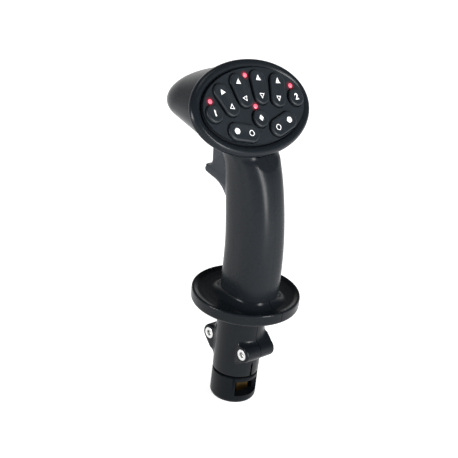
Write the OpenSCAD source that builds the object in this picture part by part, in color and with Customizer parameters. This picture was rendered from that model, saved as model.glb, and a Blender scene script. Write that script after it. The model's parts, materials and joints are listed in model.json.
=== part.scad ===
// Multi-function grip of an industrial joystick, with the clamp and adapter that carry it.
// Millimetres. +Z is up along the lever, -Y faces the operator, X = 0 is the parting plane.
// The origin is the centre of the lever bore where it opens in the adapter's underside.

/* [Adapter] */
// Radius of the adapter's lower collar
sleeve_r = 16.9; // [16:0.1:18]
// Height of the collar, up to the shadow groove under the clamp
sleeve_h = 22; // [20:0.5:24]
// Radius of the spigot that the clamp grips
spigot_r = 12; // [11.5:0.1:12.5]
// Height of the spigot's top
spigot_top = 56; // [54:1:58]
// Radius of the running bore for a 12 mm lever
lever_r = 6.1; // [6.05:0.01:6.3]
// Thickness of the floor that the lock nut bears on
floor_t = 7; // [6:0.5:8]
// Radius of the chamber round the lock nut
chamber_r = 13.6; // [13:0.1:14.2]
// Height of the chamber's ceiling
chamber_top = 19; // [18.5:0.25:19.5]
// Angle that the spanner window spans on the operator's side
window_angle = 76; // [60:2:90]

/* [Lock nut] */
// Width across the nut's flats
nut_af = 19; // [18:0.5:19.5]
// Height of the nut
nut_h = 10; // [8:0.5:10.5]
// Minor radius of the nut's thread
nut_r = 5.1; // [5:0.05:5.2]

/* [Clamp and hand rest] */
// Radius of the hand rest's rim
rest_r = 39.5; // [38:0.5:41]
// Centre of the hand rest, distance ahead of the lever's axis
rest_y = -1; // [-1.5:0.1:0]
// Height of the hand rest's upper rim
rest_z = 88.4; // [87.6:0.2:89]
// Thickness of the rim
rest_t = 9.3; // [8:0.1:10]
// Neck radius just above the groove
neck_low_r = 17; // [16.8:0.1:17.6]
// Neck radius under the hand rest
neck_top_r = 18.2; // [18:0.1:19.5]
// Height of the shadow groove between collar and neck
groove_h = 1.5; // [1:0.1:2]
// Height of the two clamp screws
clamp_z = 46; // [44:0.5:48]
// Distance of each clamp screw from the lever's axis
clamp_y = 18.4; // [18:0.1:19]
// Radius of the clamp bosses
boss_r = 6.5; // [6:0.1:7]
// Half the length of the clamp bosses
boss_x = 13.4; // [13:0.1:14]
// Width of the relief slit at the back of the neck
slit_w = 1.3; // [1:0.1:1.6]

/* [Head] */
// Face plane's lean back from upright, in degrees
face_tilt = 38.8; // [37:0.1:40]
// Face centre, distance ahead of the lever's axis
face_y = 11; // [10:0.5:12]
// Face centre, height
face_z = 227.4; // [225:0.2:229]
// Bezel's half width
rim_a = 52.9; // [52:0.1:54]
// Bezel's half height
rim_b = 35.2; // [34.5:0.1:36]
// Barrel's half width
barrel_a = 46.3; // [45:0.1:48]
// Barrel's half height, measured along the face
barrel_b = 22.3; // [21:0.1:23]
// Rise of the barrel's root above the face centre, measured along the face
barrel_shift = 8.8; // [8:0.1:10]
// Barrel's length along its own axis
barrel_l = 48; // [46:0.5:52]
// Angle from the face's normal up to the barrel's axis
barrel_rise = 20.9; // [18:0.1:23]
// Wall thickness of the moulded shells
wall = 2.5; // [2:0.1:3]

/* [Keys] */
// Width of a rocker key
rocker_w = 13; // [12:0.1:13.4]
// Length of a rocker key
rocker_l = 25.4; // [24:0.2:26]
// Diameter of a round key
round_d = 13; // [12:0.1:13.2]
// Height of the keys above the mat
key_rise = 2.5; // [2:0.1:3]
// Gap round each key
key_gap = 0.55; // [0.5:0.05:0.7]
// Radius of a rocker's hinge stubs
stub_r = 0.9; // [0.8:0.05:1]

/* [Trigger] */
// Half the width of the trigger where it leaves the handle
trigger_x = 13; // [12.5:0.1:13.2]
// Hinge, distance ahead of the lever's axis
hinge_y = 31.2; // [30.8:0.1:31.6]
// Hinge height
hinge_z = 204; // [203.5:0.1:204.5]
// Radius of the hinge pin
pin_r = 1.5; // [1.25:0.05:1.75]

/* [Hidden] */

$fn = 96;
eps = 0.01;
black = "#26292d";
silicone = "#2b313b";
steel = "#c9ccd0";
brass = "#b8924a";
board_green = "#1f5138";

neck_z = sleeve_h + groove_h;
rest_low = rest_z - rest_t;

// Adapter: round of its lower edge, small chamfer, and the passage above the nut's chamber
sleeve_edge = 4;
chamfer = 0.6;
passage_r = 8.2;

// Clamp: gap over the spigot, saw gap on each side of the parting plane, and the cavity round
// the foot of the handle, which has a neck and a flange
clamp_gap = 0.1;
parting = 0.15;
cavity_r = 14.6;
foot_r = 12;
flange_r = 14.3;
flange_z = 74;

// Clamp screws, M5: shank, cap head and its seat, hexagon of the socket and of the nut
clamp_shank_r = 2.5;
clamp_head_r = 4.25;
clamp_head_h = 4.85;
socket_r = 2.3;
clamp_nut_r = 4.6;
clamp_nut_h = 3.6;

// Shell screws: core hole, shank, head and the boss they run in
core_r = 1.35;
shank_r = 1.3;
head_r = 2.8;
screw_boss_r = 3.6;

// Grip stations, bottom to top: height, centre ahead of the axis, half width, half depth
grip = [[84, -4.1, 17.5, 21.3], [100, -4.3, 17.7, 21.4], [114, -4.2, 17.7, 21.4],
    [128, -3.4, 17.7, 21.3], [142, -1.6, 17.6, 21.4], [156, 0.8, 17.5, 21.3],
    [168, 3.4, 17.5, 21], [178, 5.9, 17.7, 20.2], [185, 8.1, 18.2, 19.1], [190, 10.7, 19, 18.8],
    [194, 13.4, 20.2, 17.4], [198, 16.4, 21.6, 17.4], [203, 19.6, 23.2, 17.2]];
grip_power = 2.6;
// Inside the shells the handle's hollow runs on into the head's
hollow = concat(grip, [[212, 28, 28, 15]]);

// Levels below the key-top plane, along the face's inward normal
mat_top = -key_rise;
mat_low = mat_top - 2;
frame_low = -8.5;
board_top = -12;
board_t = 1.6;
rim_level = -7.5;
shell_front = -9.4;
mat_a = rim_a - 8;
mat_b = rim_b - 8;
board_a = rim_a - 9.6;
board_b = rim_b - 11.2;

// Key places on the face, from its centre, and the lean of each rocker's long axis
rocker_at = [[-23.4, 7.3, 18.8], [-8.3, 11.8, 7], [8.3, 11.8, -7], [23.4, 7.3, -18.8],
    [-18.2, -17, 73.3], [18.2, -17, -73.3]];
round_at = [[-37.35, -0.4], [37.35, -0.4], [0, -9.9]];
led_at = [[-36.9, 8.7], [36.9, 8.7], [0, 22.2], [0, -0.8]];
post_at = [[-35.3, -10.9], [35.3, -10.9], [-17.8, 20.4], [17.8, 20.4]];
rocker_half = 6.2;
pivot_level = -6;

// Half the widths of the lug that holds the trigger's pin and of the trigger's own hinge
lug_x = 4;
arm_x = 11.2;

// Shell screws: ahead of the axis, height, reach of the boss from the parting plane, seat of the head
shell_screws_at = [[-4, 98, 17, 11], [-8, 152, 17, 11], [45, 234.6, 40, 14], [54, 215.5, 40, 14]];

function superellipse(a, b, p, n = 64) = [for (i = [0:n - 1]) let (t = 360 * i / n)
    [a * sign(cos(t)) * pow(abs(cos(t)), 2 / p), b * sign(sin(t)) * pow(abs(sin(t)), 2 / p)]];

function arc(x, y, r, from, to, step) = [for (t = [from:step:to]) [x + r * cos(t), y + r * sin(t)]];

function catmull(p0, p1, p2, p3, t) = 0.5 * (2 * p1 + (p2 - p0) * t
    + (2 * p0 - 5 * p1 + 4 * p2 - p3) * t * t + (3 * p1 - p0 - 3 * p2 + p3) * t * t * t);

// Row k of a station table read at a fractional index
function station(list, s) = let (last = len(list) - 1, i = min(floor(s), last - 1), t = s - i)
    catmull(list[max(i - 1, 0)], list[i], list[i + 1], list[min(i + 2, last)], t);

// Faces of a stack of rings of n points each, capped at both ends
module skin(rings) {
    n = len(rings[0]);
    m = len(rings);
    sides = [for (j = [0:m - 2], i = [0:n - 1]) let (k = (i + 1) % n)
        each [[j * n + i, (j + 1) * n + k, j * n + k], [j * n + i, (j + 1) * n + i, (j + 1) * n + k]]];
    polyhedron([for (r = rings) each r],
        concat([[for (i = [0:n - 1]) i]], sides, [[for (i = [n - 1:-1:0]) (m - 1) * n + i]]));
}

// A profile of [offset, level] swept round an ellipse, closed on itself
module elliptic_ring(a, b, profile, n = 72) {
    m = len(profile);
    points = [for (i = [0:n - 1], p = profile) let (t = 360 * i / n)
        [(a + p[0]) * cos(t), (b + p[0]) * sin(t), p[1]]];
    faces = [for (i = [0:n - 1], j = [0:m - 1]) let (k = (i + 1) % n, l = (j + 1) % m)
        each [[i * m + j, k * m + l, k * m + j], [i * m + j, i * m + l, k * m + l]]];
    polyhedron(points, faces);
}

module on_face() translate([0, face_y, face_z]) rotate([90 - face_tilt, 0, 0]) children();

module along_x(x0, x1, r) translate([x0, 0, 0]) rotate([0, 90, 0]) cylinder(r = r, h = x1 - x0);

module plate(shape_level, thickness) translate([0, 0, shape_level - thickness])
    linear_extrude(thickness) children();

// ---------------------------------------------------------------- adapter

module adapter_sleeve() color(black) difference() {
    union() {
        rotate_extrude() polygon(concat([[0, 0]],
            arc(sleeve_r - sleeve_edge, sleeve_edge, sleeve_edge, -90, 0, 10),
            [[sleeve_r, sleeve_h - chamfer], [sleeve_r - chamfer, sleeve_h], [0, sleeve_h]]));
        translate([0, 0, sleeve_h - 1]) cylinder(r = spigot_r, h = spigot_top - sleeve_h + 1);
    }
    translate([0, 0, -1]) cylinder(r = lever_r, h = floor_t + 2);
    translate([0, 0, floor_t]) cylinder(r = chamber_r, h = chamber_top - floor_t);
    translate([0, 0, chamber_top - 1]) cylinder(r = passage_r, h = spigot_top);
    rotate([0, 0, 270 - window_angle / 2]) translate([0, 0, floor_t])
        rotate_extrude(angle = window_angle) square([sleeve_r + 5, chamber_top - floor_t]);
}

module lock_nut() color(brass) difference() {
    intersection() {
        translate([0, 0, floor_t]) cylinder(r = nut_af / sqrt(3), h = nut_h, $fn = 6);
        translate([0, 0, floor_t]) rotate_extrude() polygon([[0, 0], [nut_af / 2 + 0.2, 0],
            [nut_af / 2 + 1.6, 0.9], [nut_af / 2 + 1.6, nut_h - 0.9], [nut_af / 2 + 0.2, nut_h],
            [0, nut_h]]);
    }
    translate([0, 0, floor_t - 1]) cylinder(r = nut_r, h = nut_h + 2);
}

// ---------------------------------------------------------------- clamp and hand rest

module neck_profile() polygon(concat(
    [[0, neck_z], [neck_low_r - 0.5, neck_z], [neck_low_r, neck_z + 0.5]],
    arc(neck_top_r + 3, rest_low - 3, 3, 180, 90, -15),
    [[neck_top_r + 3, rest_low + 1], [0, rest_low + 1]]));

module rest_profile() polygon(concat([[0, rest_low]],
    arc(rest_r - 2.5, rest_low + 2.5, 2.5, -90, 0, 15),
    arc(rest_r - 1.2, rest_z - 1.2, 1.2, 0, 120, 30),
    [[rest_r - 5, rest_z - 1.6], [rest_r - 10, rest_z - 1.9], [0, rest_z - 1.9]]));

// Oval lip that wraps the foot of the grip
module lip() let (g = grip[0])
    skin([for (s = [[7.5, rest_z - 4], [6.6, rest_z - 1.9], [4.6, rest_z - 0.9], [3.6, rest_z + 0.6],
        [3, rest_z + 2.4], [2, rest_z + 3.2], [1, rest_z + 3.3]])
        [for (p = superellipse(g[2] + s[0], g[3] + s[0], grip_power, 48)) [p[0], p[1] + g[1], s[1]]]]);

// Web that fairs a boss into the neck above and below, x ahead of the axis and y up
module boss_web() polygon(concat([[12.5, clamp_z - 15], [16.2, clamp_z - 14]],
    arc(clamp_y, clamp_z, boss_r, -40, 65, 15),
    [[17.4, clamp_z + 9.5], [12.5, clamp_z + 10]]));

module clamp_body() difference() {
    union() {
        rotate_extrude() neck_profile();
        translate([0, rest_y, 0]) rotate_extrude() rest_profile();
        lip();
        for (s = [-1, 1]) translate([0, s * clamp_y, clamp_z]) along_x(-boss_x, boss_x, boss_r);
        for (s = [0, 1]) mirror([0, s, 0]) translate([-boss_x, 0, 0]) rotate([90, 0, 90])
            linear_extrude(2 * boss_x) boss_web();
    }
    translate([0, 0, neck_z - 1]) cylinder(r = spigot_r + clamp_gap, h = spigot_top + 1 - neck_z);
    translate([0, 0, spigot_top]) cylinder(r = cavity_r, h = rest_low + 3 - spigot_top);
    translate([0, 0, spigot_top]) cylinder(r = foot_r + 0.3, h = 40);
    translate([0, grip[0][1], grip[0][0] - 0.3]) linear_extrude(20)
        polygon(superellipse(grip[0][2] + 0.3, grip[0][3] + 0.3, grip_power, 48));
    translate([-slit_w / 2, -30, neck_z - 1]) cube([slit_w, 20, 10.5]);
    for (s = [-1, 1]) translate([0, s * clamp_y, clamp_z]) {
        along_x(-20, 20, clamp_shank_r + 0.2);
        along_x(-20, clamp_head_h - 0.05 - boss_x, clamp_head_r + 0.25);
        translate([boss_x - clamp_nut_h - 0.6, 0, 0]) rotate([0, 90, 0])
            cylinder(r = clamp_nut_r + 0.15, h = 10, $fn = 6);
    }
}

module left_clamp_half() color(black) intersection() {
    clamp_body();
    translate([-60 - parting, -60, 0]) cube([60, 120, 120]);
}

module right_clamp_half() color(black) intersection() {
    clamp_body();
    translate([parting, -60, 0]) cube([60, 120, 120]);
}

module clamp_screws() color(steel) for (s = [-1, 1]) translate([0, s * clamp_y, clamp_z]) {
    difference() {
        along_x(-boss_x - 0.1, clamp_head_h - 0.1 - boss_x, clamp_head_r);
        translate([-boss_x - 1, 0, 0]) rotate([0, 90, 0]) cylinder(r = socket_r, h = 3.4, $fn = 6);
    }
    along_x(clamp_head_h - 0.1 - boss_x - eps, boss_x - 0.4, clamp_shank_r);
}

module clamp_nuts() color(steel) for (s = [-1, 1])
    translate([boss_x - clamp_nut_h - 0.5, s * clamp_y, clamp_z]) difference() {
        rotate([0, 90, 0]) cylinder(r = clamp_nut_r, h = clamp_nut_h, $fn = 6);
        along_x(-1, 6, clamp_shank_r + 0.05);
    }

// ---------------------------------------------------------------- grip shells

// Solid barrel of the head, its wall drawn in by an inset
module head(inset, n) on_face() hull() {
    translate([0, 0, shell_front - 0.5]) linear_extrude(0.5 + (inset > 0 ? 1 : 0))
        polygon(superellipse(rim_a - 1.8 - inset, rim_b - 1.8 - inset, 2, n));
    skin([for (t = [0:10:90]) barrel_ring(pow(sin(t), 2 / 3.6), pow(cos(t), 2 / 2.8), inset, n)]);
}

// One ring of the barrel: a fraction s along its axis, drawn in to a fraction g of its full section
function barrel_ring(s, g, inset, n) = let (l = s * (barrel_l - inset))
    [for (p = superellipse(max(barrel_a * g - inset, 0.5), max(barrel_b * g - inset, 0.5), 2, n))
        [p[0], p[1] + barrel_shift + l * sin(barrel_rise), shell_front - 1 - l * cos(barrel_rise)]];

// Solid handle from a station of a list upward, its wall drawn in by an inset
module grip_form(list, inset, first, n) skin([for (s = [first:0.75:len(list) - 1])
    let (g = station(list, s)) [for (p = superellipse(g[2] - inset, g[3] - inset, grip_power, n))
        [p[0], p[1] + g[1], g[0]]]]);

// Boss for a shell screw, braced to the wall by a rib
module screw_boss(reach) {
    along_x(-reach, reach, screw_boss_r, $fn = 24);
    for (s = [-1, 1]) hull() {
        translate([s * reach - 0.5, -0.8, -8]) cube([1, 1.6, 16]);
        translate([s * (reach - 9) - 0.5, -0.8, -3]) cube([1, 1.6, 6]);
    }
}

module outer_form() {
    head(0, 60);
    difference() {
        grip_form(grip, 0, 0, 44);
        on_face() translate([-40, -60, shell_front]) cube([80, 80, 30]);
    }
}

module grip_shells() difference() {
    union() {
        difference() {
            outer_form();
            head(wall, 40);
            grip_form(hollow, wall, 0.25, 32);
        }
        intersection() {
            outer_form();
            for (p = shell_screws_at) translate([0, p[0], p[1]]) screw_boss(p[2]);
        }
        round_foot();
    }
    trigger_slot();
    for (p = shell_screws_at) translate([0, p[0], p[1]]) {
        along_x(-p[3], 60, core_r, $fn = 16);
        along_x(p[3] - 4, 60, head_r + 0.3, $fn = 24);
    }
    translate([0, 0, flange_z - 14]) cylinder(r = foot_r - wall, h = 34, $fn = 48);
}

// Round foot with the flange that the clamp halves trap
module round_foot() {
    translate([0, 0, flange_z - 14]) cylinder(r = foot_r, h = 26, $fn = 48);
    translate([0, 0, flange_z]) cylinder(r = flange_r, h = 5, $fn = 48);
}

module trigger_slot() translate([-trigger_x - 0.45, 12, 149])
    cube([2 * trigger_x + 0.9, 30, 62]);

module left_grip_shell() color(black) intersection() {
    grip_shells();
    translate([-80.05, -60, 50]) cube([80, 160, 220]);
}

module right_grip_shell() color(black) intersection() {
    grip_shells();
    translate([0.05, -60, 50]) cube([80, 160, 220]);
}

module shell_screws() color(steel) for (p = shell_screws_at) translate([0, p[0], p[1]]) {
    along_x(p[3] - 3.95, p[3] - 1.8, head_r);
    along_x(2 - p[3], p[3] - 3.9, shank_r);
}

// ---------------------------------------------------------------- keypad

module bezel_ring() color(black) on_face() elliptic_ring(rim_a, rim_b, concat(
    [[0, rim_level], [-0.5, rim_level + 1.5], [-1.7, rim_level + 2.9], [-3.4, rim_level + 3.6],
    [-5.2, rim_level + 3.3], [-6.6, rim_level + 2.5], [-7.3, rim_level + 1.6]],
    [[-7.3, -10.5], [-6.2, -10.5], [-6.2, -9.3], [-1.4, -9.3], [-0.4, -8.6]]));

module rocker_outline(grow = 0) {
    translate([0, rocker_l / 2 - rocker_w / 2]) circle(r = rocker_w / 2 + grow);
    translate([0, rocker_w / 2 - rocker_l / 2]) circle(r = rocker_w / 2 + grow);
    square([rocker_w + 2 * grow, rocker_l - rocker_w], center = true);
}

module at_rocker(i) translate([rocker_at[i][0], rocker_at[i][1], 0]) rotate([0, 0, rocker_at[i][2]])
    children();

module face_openings() {
    for (i = [0:5]) at_rocker(i) rocker_outline(key_gap);
    for (p = round_at) translate(p) circle(r = round_d / 2 + key_gap);
    for (p = led_at) translate(p) circle(r = 1.45);
}

module keypad_mat() color(silicone) on_face() plate(mat_top, mat_top - mat_low - eps) difference() {
    polygon(superellipse(mat_a, mat_b, 2, 96));
    face_openings();
}

module key_frame() color(black) on_face() difference() {
    union() {
        plate(mat_low, mat_low - frame_low) difference() {
            polygon(superellipse(mat_a + 0.5, mat_b + 0.5, 2, 96));
            face_openings();
        }
        for (p = post_at) translate([p[0], p[1], board_top]) cylinder(r = 2.4, h = 6);
    }
    for (p = post_at) translate([p[0], p[1], board_top - 1]) cylinder(r = 0.95, h = 6);
    for (i = [0:5]) at_rocker(i) translate([0, 0, pivot_level])
        along_x(-rocker_w / 2 - 1.1, rocker_w / 2 + 1.1, stub_r + 0.05);
}

// Rocker: bevelled cap with a grip ridge across its middle, and hinge stubs at its sides
module rocker(i) color(silicone) on_face() at_rocker(i) {
    hull() {
        translate([0, 0, -7.5]) linear_extrude(6.7) rocker_outline($fn = 32);
        translate([0, 0, -0.4]) linear_extrude(0.1) rocker_outline(-0.7, $fn = 32);
    }
    translate([0, 0, pivot_level]) along_x(-rocker_w / 2 - 0.85, rocker_w / 2 + 0.85, stub_r);
    translate([0, 0, -0.55]) along_x(1.2 - rocker_w / 2, rocker_w / 2 - 1.2, 0.55);
}

module rocker_far_left() rocker(0);
module rocker_near_left() rocker(1);
module rocker_near_right() rocker(2);
module rocker_far_right() rocker(3);
module rocker_low_left() rocker(4);
module rocker_low_right() rocker(5);

module round_key(i) color(silicone) on_face() translate([round_at[i][0], round_at[i][1], 0])
    rotate_extrude() polygon(concat([[0, -9.6], [round_d / 2 + 0.7, -9.6], [round_d / 2 + 0.7, -8.8],
        [round_d / 2, -8.8]],
        [for (t = [0:15:75]) [round_d / 2 - 0.9 + 0.9 * cos(t), -0.9 + 0.9 * sin(t)]],
        [[round_d / 2 - 0.9, 0], [3, -0.25], [0, -0.35]]));

module round_key_left() round_key(0);
module round_key_right() round_key(1);
module round_key_centre() round_key(2);

module led_light_pipes() color("#ff5a6a") on_face() for (p = led_at) translate([p[0], p[1], 0])
    rotate_extrude() polygon([[0, board_top + 0.2], [1.35, board_top + 0.2], [1.35, -2.4],
        [1.1, -2.05], [0.6, -1.8], [0, -1.7]]);

module keypad_board() color(board_green) on_face() plate(board_top, board_t) difference() {
    polygon(superellipse(board_a, board_b, 2, 72));
    for (p = post_at) translate(p) circle(r = 1.2);
}

// One click switch under each end of a rocker and one under each round key
module tactile_switches() color("#8d9094") on_face() {
    for (i = [0:5], s = [-1, 1]) at_rocker(i) translate([0, s * rocker_half, board_top])
        click_switch(-8.6 - board_top);
    for (p = round_at) translate([p[0], p[1], board_top]) click_switch(-10.7 - board_top);
}

module click_switch(height) {
    translate([-2.4, -2.4, 0]) cube([4.8, 4.8, height / 2]);
    cylinder(r = 1.5, h = height);
}

module board_screws() color(steel) on_face() for (p = post_at) translate([p[0], p[1], 0]) {
    translate([0, 0, board_top - board_t - 1.3]) cylinder(r = 2, h = 1.3);
    translate([0, 0, board_top - board_t - 0.1]) cylinder(r = 0.9, h = 5.5);
}

// ---------------------------------------------------------------- trigger

// Front of the trigger, [ahead of the axis, height] from its tail up: underside, lip, finger
// hollow and front face
trigger_front = concat(arc(38.9, 148, 17.3, 172, 92, -8), arc(44.6, 168.3, 1.9, -90, 60, 25),
    arc(45.9, 177.6, 6.6, 270, 195, -15), [[39.4, 177.6], [40.6, 190], [41.2, hinge_z - 2.5]]);

// Back of the trigger and half its width there, by height
trigger_back = [[150, 18.4], [153, 18.4], [165, 19.4], [180, 21.4], [197, 25.6]];
trigger_half = [[150, trigger_x - 4], [156, trigger_x - 1.2], [165, trigger_x]];
trigger_taper = 1.8;
trigger_round = 3;

// Section of the trigger at a height: a tapered slab with rounded front corners
function trigger_ring(y, z) = let (w = lookup(z, trigger_half), c = w - trigger_taper - trigger_round)
    [for (p = concat([[w, lookup(z, trigger_back)]],
        arc(c, y - trigger_round, trigger_round, 0, 90, 15),
        arc(-c, y - trigger_round, trigger_round, 90, 180, 15), [[-w, lookup(z, trigger_back)]]))
        [p[0], p[1], z]];

module trigger() color(black) difference() {
    union() {
        skin([for (p = trigger_front) trigger_ring(p[0], p[1])]);
        translate([0, hinge_y, hinge_z]) along_x(-arm_x, arm_x, 4.6);
        translate([-arm_x, hinge_y - 10.6, hinge_z - 3]) cube([2 * arm_x, 9, 4.6]);
    }
    translate([0, hinge_y, hinge_z]) along_x(-20, 20, pin_r + 0.05);
    translate([-lug_x - 0.4, hinge_y - 4.8, hinge_z - 5.2]) cube([2 * lug_x + 0.8, 11, 12]);
}

module trigger_pin() color(steel) translate([0, hinge_y, hinge_z])
    along_x(-arm_x, arm_x, pin_r);

module trigger_spring() color(steel) translate([0, 23.6, 0])
    wire_helix(2.3, 0.35, hinge_z + 2.05, 212.5, 4);

// Round wire wound about Z between two levels
module wire_helix(r, wire_r, z0, z1, turns, sides = 6, steps = 12) {
    m = turns * steps;
    skin([for (i = [0:m]) let (a = 360 * i / steps, z = z0 + (z1 - z0) * i / m)
        [for (j = [0:sides - 1]) let (b = -360 * j / sides)
            [(r + wire_r * cos(b)) * cos(a), (r + wire_r * cos(b)) * sin(a), z + wire_r * sin(b)]]]);
}

// Frame that carries the hinge pin on a middle lug, the return spring and the trigger's switch
module trigger_bracket() color("#3a3e44") difference() {
    union() {
        for (s = [-1, 1]) translate([s * 11.2 - 1.1, 0, 0]) rotate([90, 0, 90]) linear_extrude(2.2)
            polygon([[12, 193.5], [12, 201.5], [21.2, 212.9], [21.2, 215], [36, 215], [36, 212.9],
                [24.5, 212.9], [16.2, 202.6], [15.5, 200], [15.5, 193.5]]);
        translate([-11, 21.2, 212.9]) cube([22, 14.8, 2.1]);
        translate([-11, 12, 193.5]) cube([22, 2.3, 8]);
        translate([-7, 6.5, 193.5]) cube([14, 6, 2.2]);
        translate([-7, 6.5, 170]) cube([14, 2.5, 25.7]);
        translate([0, hinge_y, hinge_z]) along_x(-lug_x, lug_x, 4);
        translate([-lug_x, hinge_y - 4, hinge_z]) cube([2 * lug_x, 8, 9.5]);
    }
    translate([0, hinge_y, hinge_z]) along_x(-20, 20, pin_r);
}

module trigger_switch() color("#1b1d20") {
    translate([-3.2, 9, 172]) cube([6.4, 6.2, 16]);
    translate([0, 15.1, 176]) rotate([-90, 0, 0]) cylinder(r = 1, h = 1.5);
}

module control_board() color(board_green) {
    translate([-13, -3.2, 108]) cube([26, 1.6, 38]);
    translate([-6, -1.6, 110]) cube([12, 6, 8]);
    translate([-5, -1.6, 124]) cube([10, 1.4, 10]);
}

left_grip_shell();
right_grip_shell();
shell_screws();
bezel_ring();
keypad_mat();
key_frame();
rocker_far_left();
rocker_near_left();
rocker_near_right();
rocker_far_right();
rocker_low_left();
rocker_low_right();
round_key_left();
round_key_right();
round_key_centre();
led_light_pipes();
keypad_board();
tactile_switches();
board_screws();
trigger();
trigger_pin();
trigger_spring();
trigger_bracket();
trigger_switch();
control_board();
left_clamp_half();
right_clamp_half();
clamp_screws();
clamp_nuts();
adapter_sleeve();
lock_nut();
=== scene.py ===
import json
import bmesh
import bpy
import numpy as np
from mathutils import Matrix, Vector


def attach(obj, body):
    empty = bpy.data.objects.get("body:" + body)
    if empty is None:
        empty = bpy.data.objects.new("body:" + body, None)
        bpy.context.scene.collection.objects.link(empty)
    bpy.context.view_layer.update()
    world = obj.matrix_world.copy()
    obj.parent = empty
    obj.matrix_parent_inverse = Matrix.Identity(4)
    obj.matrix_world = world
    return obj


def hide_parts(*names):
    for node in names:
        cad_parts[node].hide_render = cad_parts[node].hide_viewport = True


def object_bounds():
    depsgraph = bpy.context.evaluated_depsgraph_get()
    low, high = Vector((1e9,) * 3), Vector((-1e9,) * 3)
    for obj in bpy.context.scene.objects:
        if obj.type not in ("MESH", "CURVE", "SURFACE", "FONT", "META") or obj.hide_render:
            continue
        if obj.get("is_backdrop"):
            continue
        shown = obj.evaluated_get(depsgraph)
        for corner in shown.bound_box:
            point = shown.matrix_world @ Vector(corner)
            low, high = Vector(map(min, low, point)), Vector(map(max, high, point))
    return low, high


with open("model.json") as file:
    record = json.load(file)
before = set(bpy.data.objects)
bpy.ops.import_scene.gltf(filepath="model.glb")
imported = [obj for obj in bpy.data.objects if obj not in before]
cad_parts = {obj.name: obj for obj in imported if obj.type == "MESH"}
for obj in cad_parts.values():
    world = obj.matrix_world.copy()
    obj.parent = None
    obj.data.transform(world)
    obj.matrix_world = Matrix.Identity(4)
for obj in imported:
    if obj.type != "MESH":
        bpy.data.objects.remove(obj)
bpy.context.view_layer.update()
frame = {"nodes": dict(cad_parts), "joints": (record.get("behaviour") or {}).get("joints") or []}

mm = 0.001
node = frame["nodes"]
scene = bpy.context.scene


# ------------------------------------------------------------------ adapter sleeve
# A turned-looking collar moulded in black glass-filled nylon. Its spigot goes up
# into the clamp, and a spanner window in its operator's side gives on to the nut.

def linear(hex_colour):
    """sRGB hex to linear: c / 12.92 below 0.04045, else ((c + 0.055) / 1.055) ^ 2.4."""
    c = np.array([int(hex_colour[i:i + 2], 16) / 255 for i in (1, 3, 5)])
    return (*np.where(c < 0.04045, c / 12.92, ((c + 0.055) / 1.055) ** 2.4), 1.0)


def add(tree, kind, links=(), inputs=(), **settings):
    """Adds a shader node of a kind, sets its properties and sockets, and links its inputs."""
    made = tree.nodes.new(kind)
    for name, value in settings.items():
        setattr(made, name, value)
    for name, value in dict(inputs).items():
        made.inputs[name].default_value = value
    for name, output in dict(links).items():
        tree.links.new(output, made.inputs[name])
    return made


def blank_material(name):
    """A new material whose node tree is empty."""
    made = bpy.data.materials.new(name)
    made.use_nodes = True
    made.node_tree.nodes.clear()
    return made, made.node_tree


def moulded_plastic(name, colour, rough, grit, level=0.08):
    """Nylon or a like plastic from a spark-eroded mould: a satin skin whose fine pits are grit metres
    apart, with faint patches of gloss some 20 mm across where hands have polished it. `level`, the
    specular level, is matched to the moulding's dull sheen, well under a smooth surface's 0.5."""
    made, tree = blank_material(name)
    place = add(tree, "ShaderNodeTexCoord").outputs["Object"]
    pits = add(tree, "ShaderNodeTexNoise", {"Vector": place},
               {"Scale": 1 / grit, "Detail": 2.0, "Roughness": 0.6})
    bump = add(tree, "ShaderNodeBump", {"Height": pits.outputs["Fac"]},
               {"Strength": 0.3, "Distance": 0.04 * mm})
    patch = add(tree, "ShaderNodeTexNoise", {"Vector": place}, {"Scale": 45.0, "Detail": 3.0})
    gloss = add(tree, "ShaderNodeMapRange", {"Value": patch.outputs["Fac"]},
                {"From Min": 0.3, "From Max": 0.7, "To Min": rough - 0.015, "To Max": rough + 0.015})
    shader = add(tree, "ShaderNodeBsdfPrincipled",
                 {"Normal": bump.outputs[0], "Roughness": gloss.outputs[0]},
                 {"Base Color": linear(colour), "IOR": 1.53, "Specular IOR Level": level})
    add(tree, "ShaderNodeOutputMaterial", {"Surface": shader.outputs[0]})
    return made


def finish(piece, material, body, replaces=()):
    """Gives a piece its material, the body that it rides on, and the CAD nodes that it stands for."""
    piece.data.materials.clear()
    piece.data.materials.append(material)
    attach(piece, body)
    if replaces:
        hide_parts(*replaces)


def shade(mesh, degrees=32):
    """Smooth shading, broken at edges that turn by more than an angle."""
    mesh.shade_smooth()
    mesh.set_sharp_from_angle(angle=np.radians(degrees))


def eased(source, width, name, degrees=32):
    """A merged copy of a CAD node, closed and facing outward. With a width in millimetres, its flat
    faces are made whole and its edges are rounded by a bevel of that width."""
    shape = bmesh.new()
    shape.from_mesh(node[source].data)
    bmesh.ops.remove_doubles(shape, verts=shape.verts, dist=2e-6)
    if width:
        bmesh.ops.dissolve_limit(shape, angle_limit=np.radians(0.8), verts=shape.verts, edges=shape.edges)
    mesh = bpy.data.meshes.new(name)
    shape.to_mesh(mesh)
    shape.free()
    piece = bpy.data.objects.new(name, mesh)
    scene.collection.objects.link(piece)
    if width:
        bevel = piece.modifiers.new("round_edges", "BEVEL")
        bevel.width = width * mm
        bevel.segments = 3
        bevel.limit_method = "ANGLE"
        bevel.angle_limit = np.radians(degrees)
    shade(mesh, degrees)
    return piece


# The collar's nylon is set darker than the shell's, as painted shade under the hand rest
collar_nylon_painted_shade = moulded_plastic("glass_filled_nylon_collar", "#0e1216", 0.38, 0.0007)
collar = eased("adapter_sleeve", 0.35, "collar")
finish(collar, collar_nylon_painted_shade, "housing", ["adapter_sleeve"])

# ------------------------------------------------------------------ lock nut
# A turned brass hexagon nut that locks the grip on the lever's thread. The spanner
# reaches it through the collar's window.

brass, tree = blank_material("turned_brass")
place = add(tree, "ShaderNodeTexCoord").outputs["Object"]
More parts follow.
